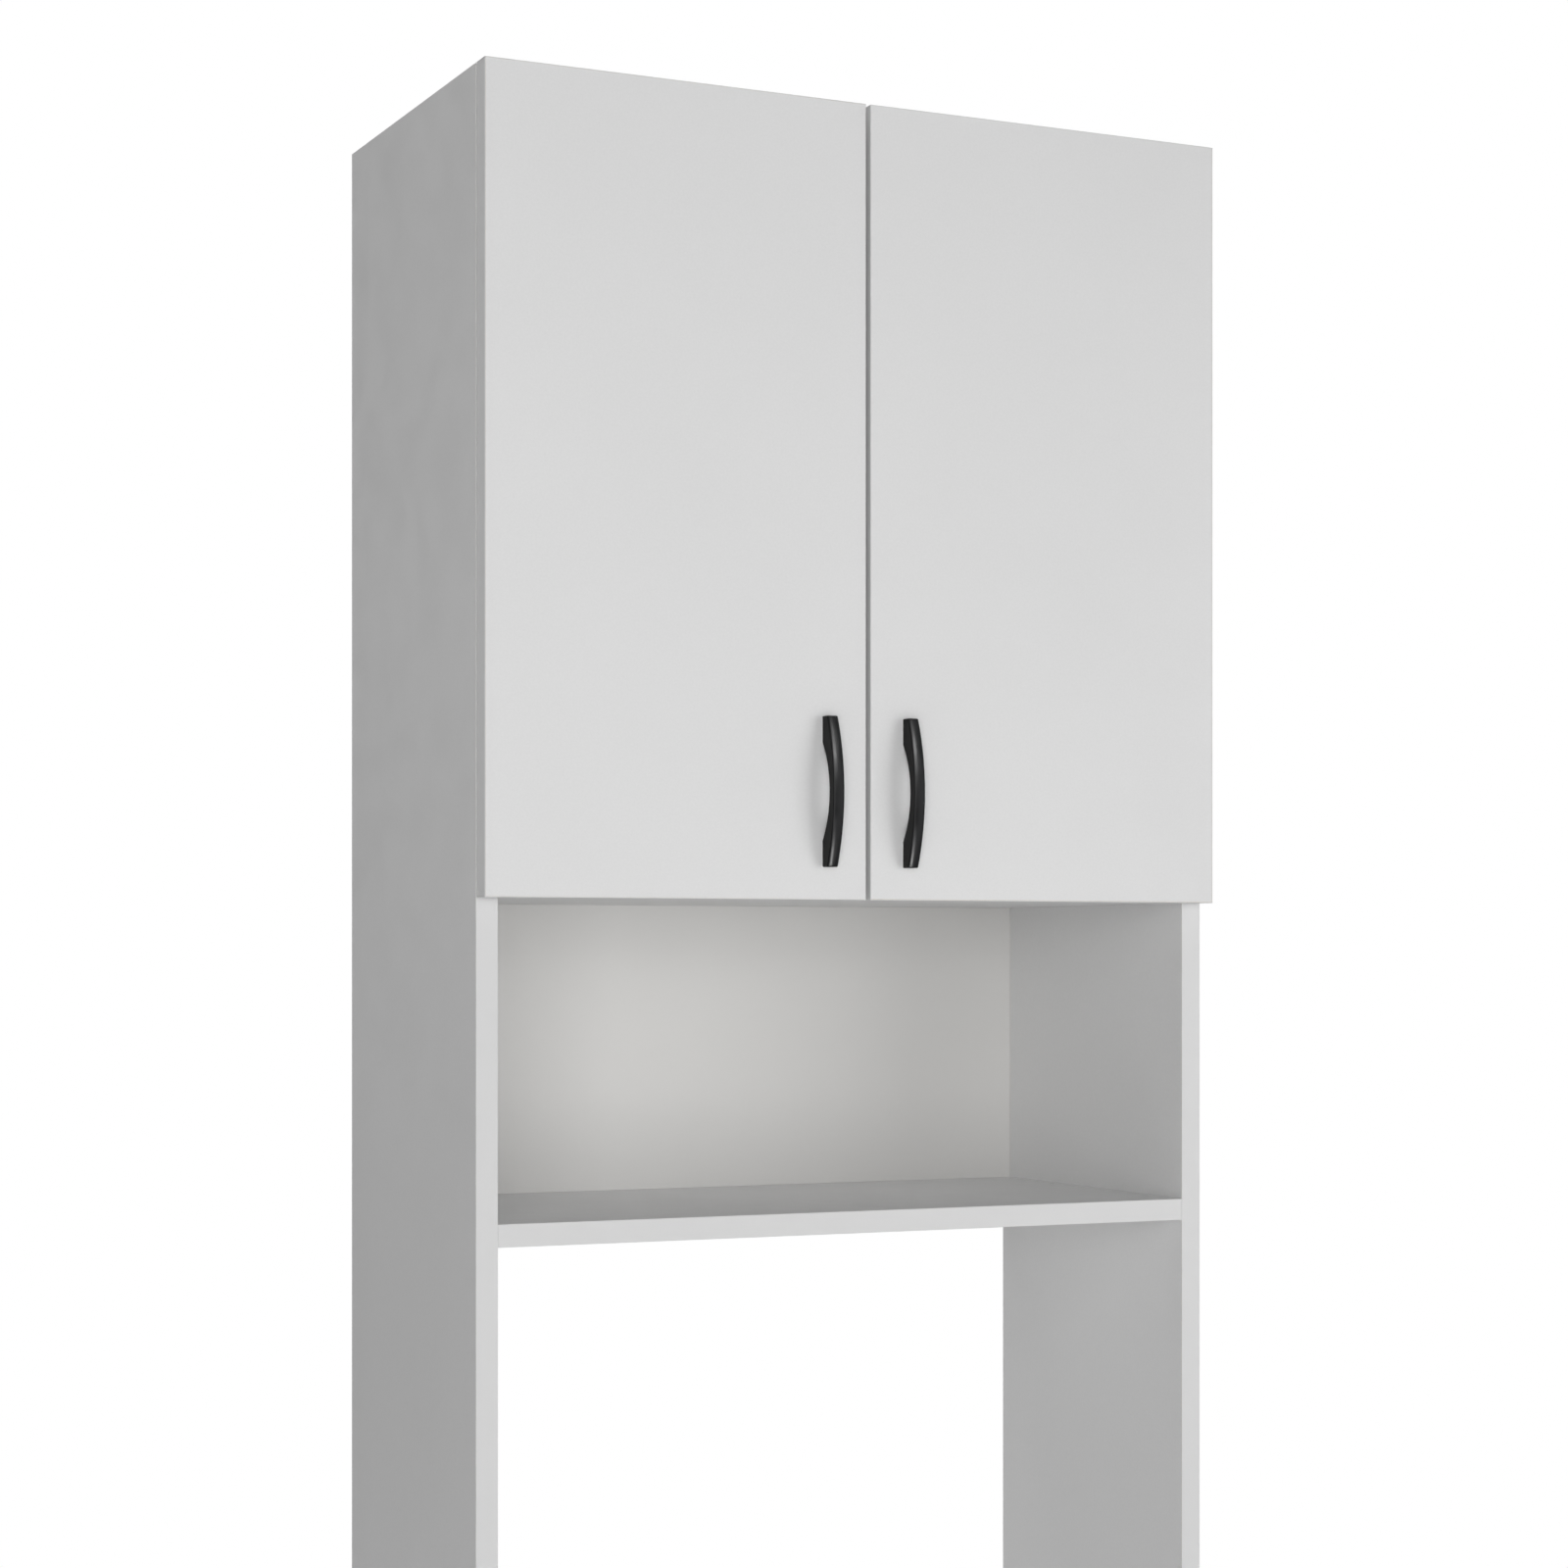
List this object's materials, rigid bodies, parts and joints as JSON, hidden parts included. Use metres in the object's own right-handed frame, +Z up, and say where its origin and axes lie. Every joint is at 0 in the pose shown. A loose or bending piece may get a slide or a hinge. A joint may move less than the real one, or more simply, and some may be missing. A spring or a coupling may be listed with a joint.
{
  "type": "washing machine cabinet",
  "caption": "Tall white cabinet with an open bay for a washing machine, an open niche and a cupboard with two hinged doors and black bow handles.",
  "frame": {"origin": "on the floor, under the middle of the cabinet's bounding box", "axes": "+X to the right seen from the front, the doors face -Y, +Y to the wall, +Z up"},
  "size_m": [0.65, 0.351, 1.775],
  "materials": {
    "white_melamine": "white melamine-faced particleboard, fine pearl texture, satin",
    "white_hardboard": "thin hardboard with a white lacquered face",
    "black_handle": "glossy black lacquered die-cast metal",
    "nickel_steel": "nickel-plated stamped steel",
    "zinc": "zinc-plated, slightly dull",
    "white_plastic": "moulded white polyethylene"
  },
  "bodies": {
    "root": {"left_side_panel": "white_melamine", "right_side_panel": "white_melamine", "top_panel": "white_melamine", "cupboard_floor": "white_melamine", "niche_floor": "white_melamine", "cupboard_shelf": "white_melamine", "back_panel": "white_hardboard", "rear_stretcher": "white_melamine", "left_top_front_cam": "zinc", "left_top_rear_cam": "zinc", "left_cupboard_front_cam": "zinc", "left_cupboard_rear_cam": "zinc", "left_niche_front_cam": "zinc", "left_niche_rear_cam": "zinc", "left_stretcher_cam": "zinc", "right_top_front_cam": "zinc", "right_top_rear_cam": "zinc", "right_cupboard_front_cam": "zinc", "right_cupboard_rear_cam": "zinc", "right_niche_front_cam": "zinc", "right_niche_rear_cam": "zinc", "right_stretcher_cam": "zinc", "left_front_shelf_pin": "nickel_steel", "left_front_glide": "white_plastic", "left_rear_shelf_pin": "nickel_steel", "left_rear_glide": "white_plastic", "left_wall_bracket": "zinc", "left_upper_hinge_arm": "nickel_steel", "left_upper_hinge_plate": "nickel_steel", "left_lower_hinge_arm": "nickel_steel", "left_lower_hinge_plate": "nickel_steel", "right_front_shelf_pin": "nickel_steel", "right_front_glide": "white_plastic", "right_rear_shelf_pin": "nickel_steel", "right_rear_glide": "white_plastic", "right_wall_bracket": "zinc", "right_upper_hinge_arm": "nickel_steel", "right_upper_hinge_plate": "nickel_steel", "right_lower_hinge_arm": "nickel_steel", "right_lower_hinge_plate": "nickel_steel"},
    "left_outer_links": {"left_upper_hinge_outer_link": "nickel_steel", "left_lower_hinge_outer_link": "nickel_steel"},
    "left_inner_links": {"left_upper_hinge_inner_link": "nickel_steel", "left_lower_hinge_inner_link": "nickel_steel"},
    "left_door": {"left_door": "white_melamine", "left_handle": "black_handle", "left_upper_handle_screw": "zinc", "left_lower_handle_screw": "zinc", "left_upper_hinge_cup": "nickel_steel", "left_lower_hinge_cup": "nickel_steel"},
    "right_outer_links": {"right_upper_hinge_outer_link": "nickel_steel", "right_lower_hinge_outer_link": "nickel_steel"},
    "right_inner_links": {"right_upper_hinge_inner_link": "nickel_steel", "right_lower_hinge_inner_link": "nickel_steel"},
    "right_door": {"right_door": "white_melamine", "right_handle": "black_handle", "right_upper_handle_screw": "zinc", "right_lower_handle_screw": "zinc", "right_upper_hinge_cup": "nickel_steel", "right_lower_hinge_cup": "nickel_steel"}
  },
  "joints": [
    {"name": "left_hinge_link_swing", "type": "hinge", "parent": "root", "child": "left_outer_links", "pos_m": [-0.2935, -0.1311, 1.4565], "axis": [0, 0, -1], "range_deg": [-38.1, 0]},
    {"name": "left_door_swing", "type": "hinge", "parent": "left_outer_links", "child": "left_door", "pos_m": [-0.3147, -0.1388, 1.4565], "axis": [0, 0, -1], "range_deg": [0, 143]},
    {"name": "left_inner_link_swing", "type": "hinge", "parent": "left_door", "child": "left_inner_links", "pos_m": [-0.3076, -0.1445, 1.4565], "axis": [0, 0, -1], "range_deg": [-99.4, 0]},
    {"name": "right_hinge_link_swing", "type": "hinge", "parent": "root", "child": "right_outer_links", "pos_m": [0.2935, -0.1311, 1.4565], "axis": [0, 0, 1], "range_deg": [-38.1, 0]},
    {"name": "right_door_swing", "type": "hinge", "parent": "right_outer_links", "child": "right_door", "pos_m": [0.3147, -0.1388, 1.4565], "axis": [0, 0, 1], "range_deg": [0, 143]},
    {"name": "right_inner_link_swing", "type": "hinge", "parent": "right_door", "child": "right_inner_links", "pos_m": [0.3076, -0.1445, 1.4565], "axis": [0, 0, 1], "range_deg": [-99.4, 0]}
  ],
  "couplings": [
    {"joint": "left_hinge_link_swing", "follows": "left_door_swing", "ratio": -0.2657},
    {"joint": "left_inner_link_swing", "follows": "left_door_swing", "ratio": -0.6944},
    {"joint": "right_hinge_link_swing", "follows": "right_door_swing", "ratio": -0.2657},
    {"joint": "right_inner_link_swing", "follows": "right_door_swing", "ratio": -0.6944}
  ]
}
